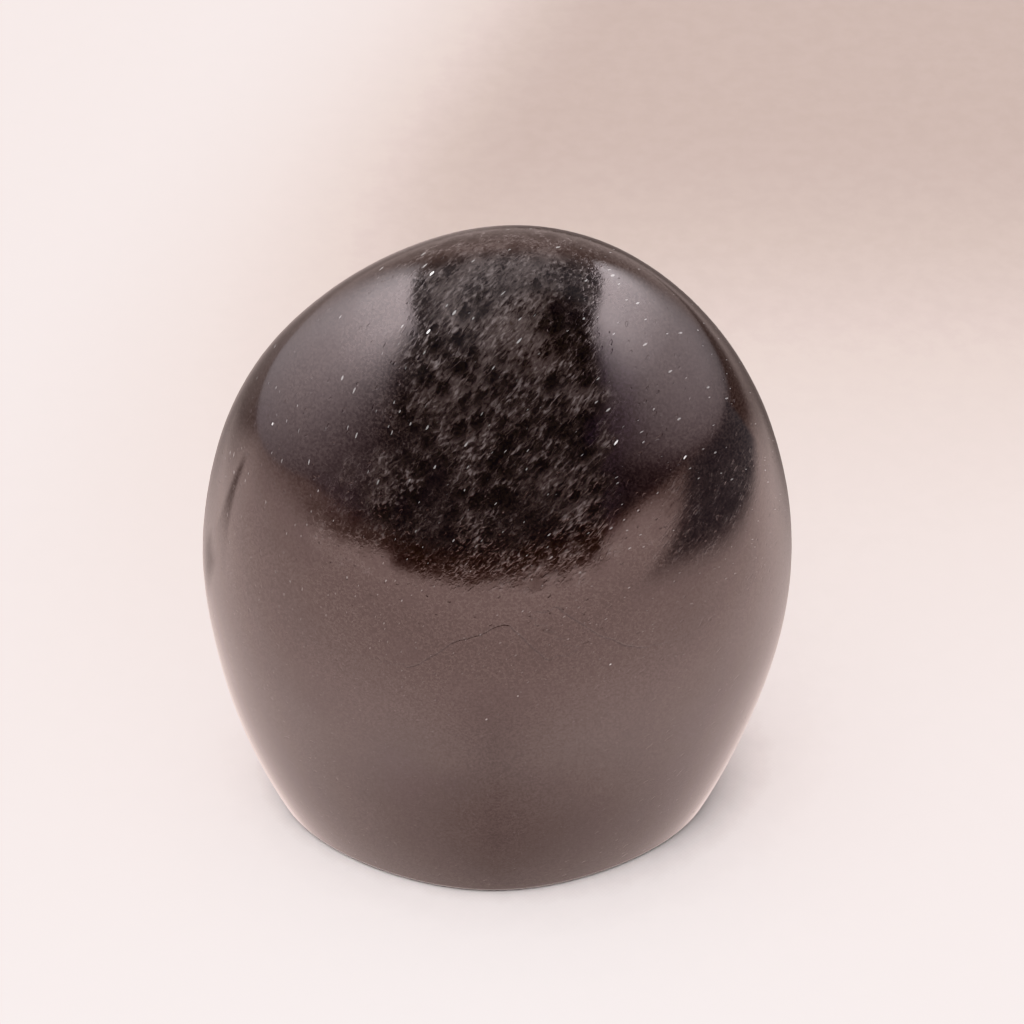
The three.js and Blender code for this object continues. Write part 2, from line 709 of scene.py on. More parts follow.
@dataclass(frozen=True)
class PaleCloth:
    """A plain woven cotton sheet in a warm off-white. Lengths are millimetres.

    Painted shade deepens it to beige towards the back and the right. It has a faint weave and
    uneven threads.
    """

    pale: Triple = (0.80, 0.72, 0.705)
    # The colour of the painted shade at the back and the right.
    deep: Triple = (0.33, 0.262, 0.235)
    slant: float = -0.4
    shade_rightwards: Step = (-105.0, -45.0, 0.25, 1.0)
    backwards: Step = (-50.0, 132.0, 0.0, 1.0)
    thread: float = 0.5
    weave: float = 0.012
    slub: Pattern = Pattern(0.35, 3.0, 0.65)
    slub_shade: Step = (0.3, 0.7, 0.96, 1.0)

    def material(self, name: str) -> bpy.types.Material:
        """The cloth's material.

        The weave is the product of a sine wave across and one along, with a wave to a thread.

        Args:
            name: the material's name.

        Returns:
            The material.
        """
        made, graph = new_material(name)
        place = graph.scaled(graph.coordinates("Object"), 1 / MM)
        across, ahead, _ = graph.split(place)
        slanted = graph.math("MULTIPLY_ADD", ahead, self.slant, across)
        # Painted shade: the colour darkens towards the right and the back.
        right = graph.ramp(slanted, *self.shade_rightwards)
        painted_shade = graph.math("MULTIPLY", right, graph.ramp(ahead, *self.backwards))
        colour = graph.mix(painted_shade, self.pale, self.deep)
        waves = graph.vector("SINE", graph.scaled(place, 2 * math.pi / self.thread))
        weft, warp, _ = graph.split(waves)
        uneven = graph.ramp(graph.noise(place, self.slub), *self.slub_shade)
        woven = graph.math("MULTIPLY", weft, warp)
        shade = graph.math("MULTIPLY_ADD", woven, self.weave, uneven)
        graph.end(graph.result("BsdfDiffuse", {"Color": graph.scaled(colour, shade)}))
        return made


@dataclass(frozen=True)
class PanelGlow:
    """The light that a panel gives off: its tints above and at its foot, and its strengths.

    Each strength goes with a height, as a share of the panel's own. The depth of the soft top
    and the height from which the upper tint is pure are such shares too. The widths of the two
    soft sides are shares of the panel's length, at its foot and at its top.
    """

    tint: Triple
    foot_tint: Triple
    strengths: tuple[Pair, ...]
    soft_start: Pair
    soft_end: Pair
    soft_top: float
    tint_height: float = 0.8

    def material(self, name: str) -> bpy.types.Material:
        """The glow as an emission that reads the panel's own map: u across and v up.

        Args:
            name: the material's name.

        Returns:
            The material.
        """
        made, graph = new_material(name)
        across, up, _ = graph.split(graph.coordinates("UV"))
        curve = graph.result("ValToRGB", {0: up})
        peak = max(strength for _, strength in self.strengths)
        stops = curve.node.color_ramp.elements
        while len(stops) < len(self.strengths):
            stops.new(0.5)
        for stop, (place, strength) in zip(stops, self.strengths):
            stop.position = place
            stop.color = (*(strength / peak for _ in range(3)), 1)
        fade = graph.ramp(up, 1.0 - self.soft_top, 1.0, 1.0, 0.0)
        from_end = graph.math("SUBTRACT", 1.0, across)
        for inwards, (low, high) in ((across, self.soft_start), (from_end, self.soft_end)):
            width = graph.math("MULTIPLY_ADD", up, high - low, low)
            fade = graph.math("MULTIPLY", fade, graph.ramp(inwards, 0.0, width))
        tint = graph.mix(graph.ramp(up, 0.0, self.tint_height), self.foot_tint, self.tint)
        graph.glow(tint, graph.math("MULTIPLY", curve, peak), fade)
        return made


# --------------------------------------------------------------------------------------------------
# The stone


@dataclass(frozen=True)
class Patch:
    """An ellipsoid in the stone, by its middle, its half sizes and how strongly it shows."""

    middle: Triple
    halves: Triple
    strength: float = 1.0

    def away(self, points: np.ndarray) -> np.ndarray:
        """How far each point lies from the middle, in half sizes."""
        return np.linalg.norm((points - np.array(self.middle)) / np.array(self.halves), axis=1)


@dataclass(frozen=True)
class Seams:
    """Where the needle grain stands out: the seams, less the plain patches within them."""

    seams: tuple[Patch, ...] = (
        Patch((-0.4 * MM, -15.0 * MM, 57.5 * MM), (12.6 * MM, 14.0 * MM, 9.5 * MM), 1.0),
        Patch((0.3 * MM, -8.0 * MM, 68.5 * MM), (10.5 * MM, 12.0 * MM, 8.5 * MM), 0.9),
        Patch((1.0 * MM, 0.0 * MM, 76.0 * MM), (11.5 * MM, 8.0 * MM, 5.0 * MM), 0.7),
        Patch((0.0 * MM, -16.5 * MM, 52.5 * MM), (12.0 * MM, 10.0 * MM, 4.4 * MM), 0.95),
        Patch((-14.5 * MM, -13.5 * MM, 53.0 * MM), (4.5 * MM, 8.0 * MM, 5.5 * MM), 0.35),
        Patch((21.5 * MM, -10.5 * MM, 52.0 * MM), (7.0 * MM, 12.0 * MM, 5.5 * MM), 0.3),
    )
    plain: tuple[Patch, ...] = (
        Patch((-5.8 * MM, -16.0 * MM, 55.0 * MM), (1.9 * MM, 6.0 * MM, 7.5 * MM), 0.6),
        Patch((2.6 * MM, -15.5 * MM, 56.0 * MM), (3.6 * MM, 6.0 * MM, 3.6 * MM), 0.5),
        Patch((-9.4 * MM, -16.0 * MM, 54.0 * MM), (1.5 * MM, 6.0 * MM, 4.0 * MM), 0.55),
    )
    ragged: tuple[Waves, ...] = (Waves(3.0 * MM, 0.22, 21), Waves(1.2 * MM, 0.12, 22))
    reach: float = 1.15
    blur: float = 0.35
    faint: float = 0.03

    def share(self, points: np.ndarray) -> np.ndarray:
        """How strongly the grain stands out.

        With s for the strongest seam and p for the strongest plain patch at a place, it is
        (faint + (1 - faint) * s) * (1 - p).

        Args:
            points: one row of x, y and z for each vertex.

        Returns:
            One share from 0 to 1 for each vertex.
        """
        uneven = summed(self.ragged, points)
        shown = self.faint + (1 - self.faint) * self.strongest(self.seams, points, uneven)
        return shown * (1 - self.strongest(self.plain, points, uneven))

    def strongest(
        self, patches: tuple[Patch, ...], points: np.ndarray, uneven: np.ndarray
    ) -> np.ndarray:
        """The largest of some patches' shares at each place.

        A patch's share is its strength times t * t * (3 - 2t). With the distance from its middle
        in half sizes, t falls from 1 to 0 over the blur and is 0 from the reach on.

        Args:
            patches: the patches.
            points: one row of x, y and z for each vertex.
            uneven: what is added to each place's distance, so that the edges are ragged.

        Returns:
            One share from 0 to 1 for each vertex.
        """
        largest = np.zeros(len(points))
        for patch in patches:
            fall = np.clip((self.reach - patch.away(points) - uneven) / self.blur, 0, 1)
            largest = np.maximum(largest, patch.strength * fall * fall * (3 - 2 * fall))
        return largest


@dataclass(frozen=True)
class Clouds:
    """Soft clouds in the body of the stone, mostly between -1 and 1, browner in a level band.

    They are the sum of three sizes of smooth random heights. The band adds its rise times e to
    the power of -h * h, where h is the height from the band's middle in its half heights.
    """

    waves: tuple[Waves, ...] = (
        Waves(11.0 * MM, 0.6, 31),
        Waves(5.0 * MM, 0.35, 32),
        Waves(2.2 * MM, 0.2, 33),
    )
    band_height: float = 40 * MM
    band_half: float = 11 * MM
    band_rise: float = 0.6

    def share(self, points: np.ndarray) -> np.ndarray:
        """The clouds at each place, from one row of x, y and z for each vertex."""
        from_band = (points[:, 2] - self.band_height) / self.band_half
        return summed(self.waves, points) + self.band_rise * np.exp(-(from_band**2))


@dataclass(frozen=True)
class Haze:
    """The milky share between the needles, in patches, and strongest on the crown."""

    waves: tuple[Waves, ...] = (Waves(4.2 * MM, 0.65, 51), Waves(1.7 * MM, 0.35, 52))
    strength: float = 0.34
    crown_rise: float = 0.14
    crown_from: float = 62 * MM
    crown_over: float = 9 * MM
    lift: float = 0.6
    span: float = 0.9
    least: float = 0.25
    clear: tuple[Patch, ...] = (
        Patch((-4.6 * MM, -0.8 * MM, 77.0 * MM), (2.2 * MM, 1.3 * MM, 2.0 * MM)),
        Patch((1.2 * MM, -0.6 * MM, 77.4 * MM), (2.2 * MM, 1.2 * MM, 2.0 * MM)),
        Patch((7.4 * MM, -5.8 * MM, 73.4 * MM), (3.4 * MM, 2.6 * MM, 2.0 * MM)),
        Patch((-2.4 * MM, -4.0 * MM, 75.4 * MM), (1.6 * MM, 1.2 * MM, 1.2 * MM)),
        Patch((-9.4 * MM, -15.8 * MM, 54.0 * MM), (1.8 * MM, 6.0 * MM, 4.4 * MM)),
    )
    clear_ragged: float = 0.9
    clear_within: float = 0.7
    clear_blur: float = 0.5
    clear_least: float = 0.35

    def share(self, points: np.ndarray) -> np.ndarray:
        """How milky each place is.

        Two sizes of smooth random heights, lifted and then divided by the span, are cut off at
        the least share and at 1. They are multiplied by the strength, which grows by the crown's
        rise over a band under the crown. The clear patches lower it to their own least share.

        Args:
            points: one row of x, y and z for each vertex.

        Returns:
            One share for each vertex.
        """
        uneven = summed(self.waves, points)
        crown = np.clip((points[:, 2] - self.crown_from) / self.crown_over, 0, 1)
        patchy = np.clip((uneven + self.lift) / self.span, self.least, 1)
        milky = (self.strength + self.crown_rise * crown) * patchy
        for patch in self.clear:
            away = patch.away(points) + self.clear_ragged * uneven
            milky *= np.clip((away - self.clear_within) / self.clear_blur, self.clear_least, 1)
        return milky


@dataclass(frozen=True)
class HealedCracks:
    """Healed cracks across the front face, each through its corners as x and height."""

    cracks: tuple[tuple[Pair, ...], ...] = (
        (
            (-8.9 * MM, 37.8 * MM),
            (-3.7 * MM, 42.1 * MM),
            (1.2 * MM, 44.3 * MM),
            (5.0 * MM, 39.4 * MM),
        ),
        ((6.5 * MM, 45.3 * MM), (9.7 * MM, 42.3 * MM), (14.9 * MM, 38.2 * MM)),
    )
    wander: tuple[Waves, ...] = (Waves(1.6 * MM, 0.35 * MM, 41),)
    far: float = 1.0

    def distance(self, points: np.ndarray) -> np.ndarray:
        """How far each place lies above the nearer crack, below zero where it lies under it.

        A crack runs straight from corner to corner, made uneven by smooth random heights. What
        lies past its ends is added to the distance, and so is a long way behind the front face,
        so nothing shows there.

        Args:
            points: one row of x, y and z for each vertex.

        Returns:
            One distance in millimetres for each vertex.
        """
        across, depth, height = points.T
        wander = summed(self.wander, points)
        nearest = np.full(len(points), self.far)
        for crack in self.cracks:
            x, z = np.array(crack).T
            above = height - np.interp(across, x, z) + wander
            past = np.clip(np.maximum(x[0] - across, across - x[-1]), 0, None)
            behind = np.where(depth > 0, self.far, 0.0)
            signed = above + np.sign(above) * (past + behind)
            nearest = np.where(np.abs(signed) < np.abs(nearest), signed, nearest)
        return nearest / MM


# How widely a swell fades out.
BROAD = 0.3
MIDDLING = 0.17
NARROW = 0.1
LOCAL = 0.06


@dataclass(frozen=True)
class Swell:
    """A place that grinding left fuller, or flatter below zero, than the plain ellipsoid.

    It lies towards one direction from the body's centre.
    """

    towards: Triple
    spread: float
    rise: float


@dataclass(frozen=True)
class Stone:
    """The whole stone: an ellipsoid with gentle swells, cut off flat at its base.

    The sink keeps the smooth surface inside the faceted solid's box. The shell is a square grid
    of cells, and its lines are crowded towards its rim, apart from the share of their spacing
    that stays even. It takes up its share of the bake map, with the base beside it.
    """

    half_width: float = 32.4 * MM
    half_depth: float = 20.0 * MM
    half_height: float = 48.7 * MM
    centre: Triple = (-0.4 * MM, 0.95 * MM, 28.7 * MM)
    swells: tuple[Swell, ...] = (
        Swell((0, -1, 0.3), BROAD, 1.75 * MM),
        Swell((0, -0.62, -1), NARROW, 2.0 * MM),
        Swell((-0.55, -0.8, -0.55), MIDDLING, -0.8 * MM),
        Swell((0.55, -0.8, -0.55), MIDDLING, -1.0 * MM),
        Swell((0.15, 1, 0.1), MIDDLING, -0.6 * MM),
        Swell((-1, 0, -0.8), MIDDLING, -1.7 * MM),
        Swell((1, 0, -0.8), MIDDLING, -1.7 * MM),
        Swell((-1, -0.05, -0.1), LOCAL, -0.6 * MM),
        Swell((-0.91, 0.07, 0.4), LOCAL, -0.3 * MM),
        Swell((0.91, 0.07, 0.4), LOCAL, 0.5 * MM),
        Swell((-0.65, 0.13, 0.74), LOCAL, 0.4 * MM),
        Swell((0.65, 0.13, 0.74), LOCAL, 1.05 * MM),
        Swell((-0.27, 0.17, 0.96), LOCAL, -0.95 * MM),
        Swell((0.27, 0.17, 0.96), LOCAL, 1.05 * MM),
    )
    sink: float = 0.07 * MM
    edge_radius: float = 0.6 * MM
    hand_waves: tuple[Waves, ...] = (
        Waves(8.0 * MM, 0.04 * MM, 11),
        Waves(3.5 * MM, 0.012 * MM, 12),
    )
    fade_power: int = 8
    lowest_latitude: float = -0.45 * math.pi
    halvings: int = 40
    cells: int = 272
    even_share: float = 0.2
    shell_share: float = 0.86
    map_gap: float = 0.01
    seams: Seams = Seams()
    clouds: Clouds = Clouds()
    haze: Haze = Haze()
    cracks: HealedCracks = HealedCracks()

    def point(self, azimuth: np.ndarray, latitude: np.ndarray) -> np.ndarray:
        """The polished surface in some directions from the body's centre.

        The radius is that of the ellipsoid, plus for each swell its rise times e to the power of
        (c - 1) / spread, where c is the cosine of the angle to the swell, less the sink.

        Args:
            azimuth: angles from the front face towards +X.
            latitude: angles above the level.

        Returns:
            An array with x, y and z last.
        """
        out = direction(azimuth, latitude)
        halves = np.array([self.half_width, self.half_depth, self.half_height])
        radius = 1 / np.linalg.norm(out / halves, axis=-1) - self.sink
        for swell in self.swells:
            towards = np.array(swell.towards) / np.linalg.norm(swell.towards)
            radius += swell.rise * np.exp((out @ towards - 1) / swell.spread)
        return out * radius[..., None] + np.array(self.centre)

    def base_latitude(self, azimuth: np.ndarray) -> np.ndarray:
        """The latitude at which the surface reaches the base plane, found by halving.

        Args:
            azimuth: angles from the front face towards +X.

        Returns:
            One latitude for each azimuth.
        """
        low = np.full_like(azimuth, self.lowest_latitude)
        high = np.zeros_like(azimuth)
        for _ in range(self.halvings):
            middle = (low + high) / 2
            under = self.point(azimuth, middle)[..., 2] < 0
            low = np.where(under, middle, low)
            high = np.where(under, high, middle)
        return (low + high) / 2

    def shell(self) -> np.ndarray:
        """The points of the polished shell, on a square grid whose rim is the base's outline.

        A line that would lie evenly at t, from -1 to 1, lies at (1 - e) * sin(t * pi / 2) + e * t,
        where e is the even share. The square's (u, v) becomes the round (u * sqrt(1 - v * v / 2),
        v * sqrt(1 - u * u / 2)). Its distance from the middle says how far the point lies from
        the crown to the base, and its angle is the azimuth, so no pole is left. Below the edge
        radius r the wall is drawn in by the quarter round r - sqrt(r * r - (r - z) * (r - z)).

        Returns:
            An array of rows by columns by x, y and z.
        """
        even = np.linspace(-1, 1, self.cells + 1)
        line = (1 - self.even_share) * np.sin(even * math.pi / 2) + self.even_share * even
        u, v = np.meshgrid(line, line)
        x, y = u * np.sqrt(1 - v * v / 2), v * np.sqrt(1 - u * u / 2)
        azimuth = np.arctan2(x, -y)
        away = np.clip(np.hypot(x, y), 0, 1)
        base = self.base_latitude(azimuth)
        latitude = math.pi / 2 + (base - math.pi / 2) * away
        points = self.point(azimuth, latitude)
        points += self.hand_polish(points, away)[..., None] * direction(azimuth, latitude)
        below = np.clip(self.edge_radius - points[..., 2], 0, self.edge_radius)
        drawn_in = self.edge_radius - np.sqrt(self.edge_radius**2 - below**2)
        points[..., 0] -= drawn_in * np.sin(azimuth)
        points[..., 1] += drawn_in * np.cos(azimuth)
        return points

    def hand_polish(self, points: np.ndarray, away: np.ndarray) -> np.ndarray:
        """The slight waves that polishing by hand leaves, as heights.

        The waves are smooth random heights times 1 - a^p, where a is the share of the way from
        the crown to the base and p the fade's power, so that they fade out at the base's edge.

        Args:
            points: places on the shell.
            away: how far each lies from the crown to the base, from 0 to 1.

        Returns:
            One height for each point.
        """
        heights = summed(self.hand_waves, points.reshape(-1, 3))
        fade = 1 - away**self.fade_power
        return heights.reshape(away.shape) * fade

    def build(self) -> bpy.types.Object:
        """The stone as one closed mesh, with a map for its baked finish and its patterns' shares.

        Returns:
            The stone.
        """
        shell = self.shell()
        count = self.cells + 1
        number = np.arange(count * count).reshape(count, count)
        around = (number[0, :-1], number[:-1, -1], number[-1, :0:-1], number[:0:-1, 0])
        rim = np.concatenate(around)
        points = shell.reshape(-1, 3)
        points[rim, 2] = 0.0
        middle = len(points)
        points = np.vstack([points, [[0.0, 0.0, 0.0]]])
        quads = grid_quads(count, count)
        fan = np.stack([np.full(len(rim), middle), np.roll(rim, -1), rim], axis=1)
        made = mesh_object("polished_stone", points, [quads, fan])
        add_map(made, BAKE_MAP, self.map_places(points, quads, fan))
        add_share(made, SEAM, self.seams.share(points))
        add_share(made, CLOUDS, self.clouds.share(points))
        add_share(made, CRACK, self.cracks.distance(points))
        add_share(made, HAZE, self.haze.share(points))
        return made

    def map_places(self, points: np.ndarray, quads: np.ndarray, fan: np.ndarray) -> np.ndarray:
        """Where each face corner lies in the map: the shell's own square, and the base beside it.

        Args:
            points: one row of x, y and z for each vertex.
            quads: the shell's faces.
            fan: the base's faces, which all start from its middle.

        Returns:
            One row of u and v for each corner.
        """
        even = np.linspace(0, self.shell_share, self.cells + 1)
        u, v = np.meshgrid(even, even)
        square = np.stack([u.ravel(), v.ravel()], axis=1)
        rim = points[fan[:, 1], :2]
        room = 1 - self.shell_share - 2 * self.map_gap
        flat = (points[:, :2] - rim.min(axis=0)) / np.ptp(rim, axis=0).max() * room
        flat[:, 0] += self.shell_share + self.map_gap
        return np.concatenate([square[quads.ravel()], flat[fan.ravel()]])

    def dress(self, made: bpy.types.Object, finish: TourmalinePolish) -> None:
        """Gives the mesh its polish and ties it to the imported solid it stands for.

        Args:
            made: the stone.
            finish: its polish.
        """
        made.data.materials.append(finish.material())
        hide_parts(STONE_NODE)
        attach(made, "root")


# --------------------------------------------------------------------------------------------------
# The stage


def show_to(made: bpy.types.Object, who: Visibility) -> None:
    """Marks a piece as stage and sets which rays meet it.

    Args:
        made: the piece.
        who: the rays that meet it.
    """
    gloss = who is Visibility.GLOSS
    made.visible_camera = not gloss
    made.visible_shadow = not gloss
    made.visible_diffuse = not gloss
    made.visible_glossy = gloss


def flat_patch(name: str, corners: tuple[Triple, ...], steps: int) -> bpy.types.Object:
    """A patch between four corners, with a map: u from the first to the second, v to the last.

    Each of its points is the corners' average weighted by (1 - u)(1 - v), u(1 - v), uv and
    (1 - u)v.

    Args:
        name: the object's name.
        corners: the four corners, anticlockwise as seen from the side that the patch faces.
        steps: how many quads lie along each side.

    Returns:
        The patch.
    """
    even = np.linspace(0, 1, steps + 1)
    v, u = np.meshgrid(even, even, indexing="ij")
    shares = [(1 - u) * (1 - v), u * (1 - v), u * v, (1 - u) * v]
    weights = np.stack(shares, axis=-1).reshape(-1, 4)
    quads = grid_quads(steps + 1, steps + 1)
    made = mesh_object(name, weights @ np.array(corners, dtype=float), [quads])
    places = np.stack([u.ravel(), v.ravel()], axis=1)
    add_map(made, PATCH_MAP, places[quads.ravel()])
    return made


def level_patch(name: str, corners: tuple[Pair, ...], lift: float, steps: int) -> bpy.types.Object:
    """A level patch over the sheet, with its corners and its lift given in millimetres."""
    return flat_patch(name, tuple((x * MM, y * MM, lift * MM) for x, y in corners), steps)


@dataclass(frozen=True)
class Floor:
    """The pale sheet that the stone stands on, flat and far wider than the view."""

    half: float = 2.6

    def build(self) -> bpy.types.Object:
        """The sheet, which gloss doesn't show: it shows the painted sheet reflection instead.

        Returns:
            The sheet.
        """
        half = self.half
        corners = ((-half, -half, 0), (half, -half, 0), (half, half, 0), (-half, half, 0))
        made = flat_patch("pale_sheet", corners, steps=1)
        show_to(made, Visibility.ALL_BUT_GLOSS)
        made.data.materials.append(PaleCloth().material("pale_cloth"))
        return made


@dataclass(frozen=True)
class PaintedSheetReflection:
    """A glowing patch, no lamp, seen only in the stone's gloss: a painted reflection of the sheet.
    Lengths are millimetres.

    It is bright in front and to the sides. It fades towards the back, most of all right behind
    the stone, and dims towards the front corners and both ends, as painted shade.
    """

    tint: Triple
    left: float = -420.0
    right: float = 560.0
    front: float = -250.0
    back: float = 500.0
    lift: float = 0.3
    bright: float = 2.66
    fades_from: float = -78.0
    fades_to: float = 28.0
    beside_most: float = 110.0
    beside_slope: float = -0.8
    back_left: Step = (left, -110.0, 1.4, 0.62)
    gap_falls: Step = (-30.0, 20.0, 1.0, 0.55)
    gap_rises: Step = (60.0, 180.0, 1.0, 2.9)
    front_rise: Step = (-165.0, -95.0, 1.15, 1.0)
    corner_right: float = 100.0
    corner_slope: float = 0.35
    corner_from: Step = (-140.0, -85.0, -150.0, -181.0)
    corner_to: Step = (-195.0, -95.0, -55.0, -145.0)
    corner_least: Step = (-350.0, -120.0, 0.7, 0.2)
    left_end: Step = (left, -150.0, 0.65, 1.0)
    right_end: Step = (150.0, 270.0, 1.0, 0.5)

    def build(self) -> bpy.types.Object:
        """The patch just over the sheet, with its glow.

        Returns:
            The patch.
        """
        corners = (
            (self.left, self.front),
            (self.right, self.front),
            (self.right, self.back),
            (self.left, self.back),
        )
        made = level_patch("painted_sheet_reflection", corners, self.lift, steps=4)
        made.data.materials.append(self.material())
        show_to(made, Visibility.GLOSS)
        return made

    def material(self) -> bpy.types.Material:
        """A glow that fades towards the back, times its shares in front, in the corners and ends.

        Returns:
            The material.
        """
        made, graph = new_material("painted_sheet_reflection_glow")
        across, ahead, _ = graph.split(graph.scaled(graph.coordinates("Object"), 1 / MM))
        shares = (
            graph.ramp(ahead, *self.front_rise),
            self.corners(graph, across, ahead),
            graph.ramp(across, *self.left_end),
            graph.ramp(across, *self.right_end),
        )
        level = self.fading(graph, across, ahead)
        for share in shares:
            level = graph.math("MULTIPLY", level, share)
        graph.glow((*self.tint, 1), level)
        return made

    def fading(self, graph: Graph, across: Socket, ahead: Socket) -> Socket:
        """The glow as it fades into painted shade towards the back, later at the sides than
        between.

        Args:
            graph: the material's graph.
            across: the place from left to right.
            ahead: the place from front to back.

        Returns:
            The brightness.
        """
        beside = graph.math("MINIMUM", graph.math("ABSOLUTE", across), self.beside_most)
        behind = graph.math("MULTIPLY_ADD", beside, self.beside_slope, ahead)
        falls = graph.ramp(across, *self.gap_falls)
        # Painted shade in the glow behind the stone: dimmer right of its middle, brighter far
        # right.
        gap = graph.math("MULTIPLY", falls, graph.ramp(across, *self.gap_rises))
        dim = graph.math("MULTIPLY", graph.ramp(across, *self.back_left), gap)
        return graph.ramp(behind, self.fades_from, self.fades_to, self.bright, dim)

    def corners(self, graph: Graph, across: Socket, ahead: Socket) -> Socket:
        """What is left of the painted reflection's light towards its front corners.

        Args:
            graph: the material's graph.
            across: the place from left to right.
            ahead: the place from front to back.

        Returns:
            A share up to 1.
        """
        beside = graph.math("MAXIMUM", across, self.corner_right)
        corner = graph.math("MULTIPLY_ADD", beside, self.corner_slope, ahead)
        start = graph.ramp(across, *self.corner_from)
        end = graph.ramp(across, *self.corner_to)
        return graph.ramp(corner, start, end, graph.ramp(across, *self.corner_least), 1.0)


@dataclass(frozen=True)
class Window:
    """A tall flat light panel that stands upright beside the stone and is narrower at its top.

    The side is -1 for the left and 1 for the right. How far it reaches forwards and backwards is
    given at its foot and at its top. These reaches, the foot and the top are shares of the
    panel's distance, and heights count from the stone's middle.
    """

    name: str
    side: int
    forwards: Pair
    backwards: Pair
    top: float
    glow: PanelGlow
    foot: float = -0.25
    distance: float = 1.6
    middle: float = 45 * MM

    def build(self) -> bpy.types.Object:
        """The panel, broadside on to the stone, with u from its back end to its front and v up.

        Returns:
            The panel.
        """
        ends = (
            (-self.backwards[0], self.foot),
            (self.forwards[0], self.foot),
            (self.forwards[1], self.top),
            (-self.backwards[1], self.top),
        )
        away = self.distance
        corners = tuple(
            (self.side * away, -ahead * away, high * away + self.middle) for ahead, high in ends
        )
        made = flat_patch(self.name, corners, steps=6)
        made.data.materials.append(self.glow.material(f"{self.name}_glow"))
        show_to(made, Visibility.GLOSS)
        return made


@dataclass(frozen=True)
class Card:
    """A flat glowing card, no lamp, that lies on the sheet and only shows in the stone's gloss:
    a painted dark reflection.

    The corners and the lift are given in millimetres, and the soft edges as a share of the card.
    """

    name: str
    tint: Triple
    corners: tuple[Pair, ...]
    glow: float
    soft: float
    lift: float = 0.6

    def build(self) -> bpy.types.Object:
        """The card as one patch between its corners, just over the mirrored sheet.

        Returns:
            The card.
        """
        made = level_patch(self.name, self.corners, self.lift, steps=6)
        made.data.materials.append(self.material())
        show_to(made, Visibility.GLOSS)
        return made

    def material(self) -> bpy.types.Material:
        """A dim glow that gives way to clear towards the card's four edges.

        Returns:
            The material.
        """
        made, graph = new_material(f"{self.name}_glow")
        u, v, _ = graph.split(graph.coordinates("UV"))
        from_sides, from_ends = (
            graph.math("MINIMUM", place, graph.math("SUBTRACT", 1.0, place)) for place in (u, v)
        )
        nearest = graph.math("MINIMUM", from_sides, from_ends)
        graph.glow((*self.tint, 1), self.glow, graph.ramp(nearest, 0.0, self.soft))
        return made


@dataclass(frozen=True)
class Lamp:
    """A wide soft lamp over the stone, which lights the sheet and doesn't show in the gloss."""

    place: Triple = (-0.3, -0.35, 1.6)
    size: float = 2.0
    power: float = 60.0

    def build(self) -> bpy.types.Object:
        """The lamp, facing straight down.

        Returns:
            The lamp.
        """
        data = bpy.data.lights.new("overhead_softbox", "AREA")
        data.size = self.size
        data.energy = self.power
        made = bpy.data.objects.new("overhead_softbox", data)
        made.location = self.place
        made.visible_glossy = False
        bpy.context.scene.collection.objects.link(made)
        return made


@dataclass(frozen=True)
class Room:
    """The room's dim light, and the plain pale tone it has where it is looked at.

    It is brighter towards the ceiling and the back, and darker round one corner.
    """

    back_tint: Triple
    tint: Triple = (1.0, 1.08, 1.14)
    looked_at: Triple = (1.2, 1.02, 0.98)
    uneven: Pattern = Pattern(4.5, 2.0, 0.6)
    unevenness: float = 0.9
    ceiling: Step = (0.75, 1.6, 0.3, 0.95)
    dark_corner: Triple = (0.32, -0.59, 0.743)
    darker: Step = (0.87, 0.97, 1.0, 0.45)
    backwards: Step = (0.2, 0.8, 0.0, 1.0)
    back_light: float = 0.7

    def build(self) -> None:
        """Sets the room as the scene's world."""
        world = bpy.data.worlds.new("studio_room")
        bpy.context.scene.world = world
        world.use_nodes = True
        graph = Graph(world.node_tree)
        seen = graph.result("Background", {"Color": (*self.looked_at, 1), "Strength": 1.0})
        camera = graph.node("LightPath").outputs["Is Camera Ray"]
        shown = graph.result("MixShader", {0: camera, 1: self.dim(graph), 2: seen})
        graph.end(shown, "OutputWorld")

    def dim(self, graph: Graph) -> Socket:
        """The light that the stone and the sheet get from the room.

        Args:
            graph: the world's graph.

        Returns:
            The light's shader.
        """
        outwards = graph.coordinates("Generated")
        _, ahead, up = graph.split(outwards)
        uneven = graph.noise(outwards, self.uneven)
        lifted = graph.math("MULTIPLY_ADD", uneven, self.unevenness, up)
        to_corner = graph.vector("DOT_PRODUCT", outwards, self.dark_corner)
        darker = graph.ramp(to_corner, *self.darker)
        back = graph.ramp(ahead, *self.backwards)
        behind = graph.math("MULTIPLY", back, self.back_light)
        ceiling = graph.ramp(lifted, *self.ceiling)
        strength = graph.math("MULTIPLY_ADD", ceiling, darker, behind)
        colour = graph.mix(back, self.tint, self.back_tint)
        return graph.result("Background", {"Color": colour, "Strength": strength})


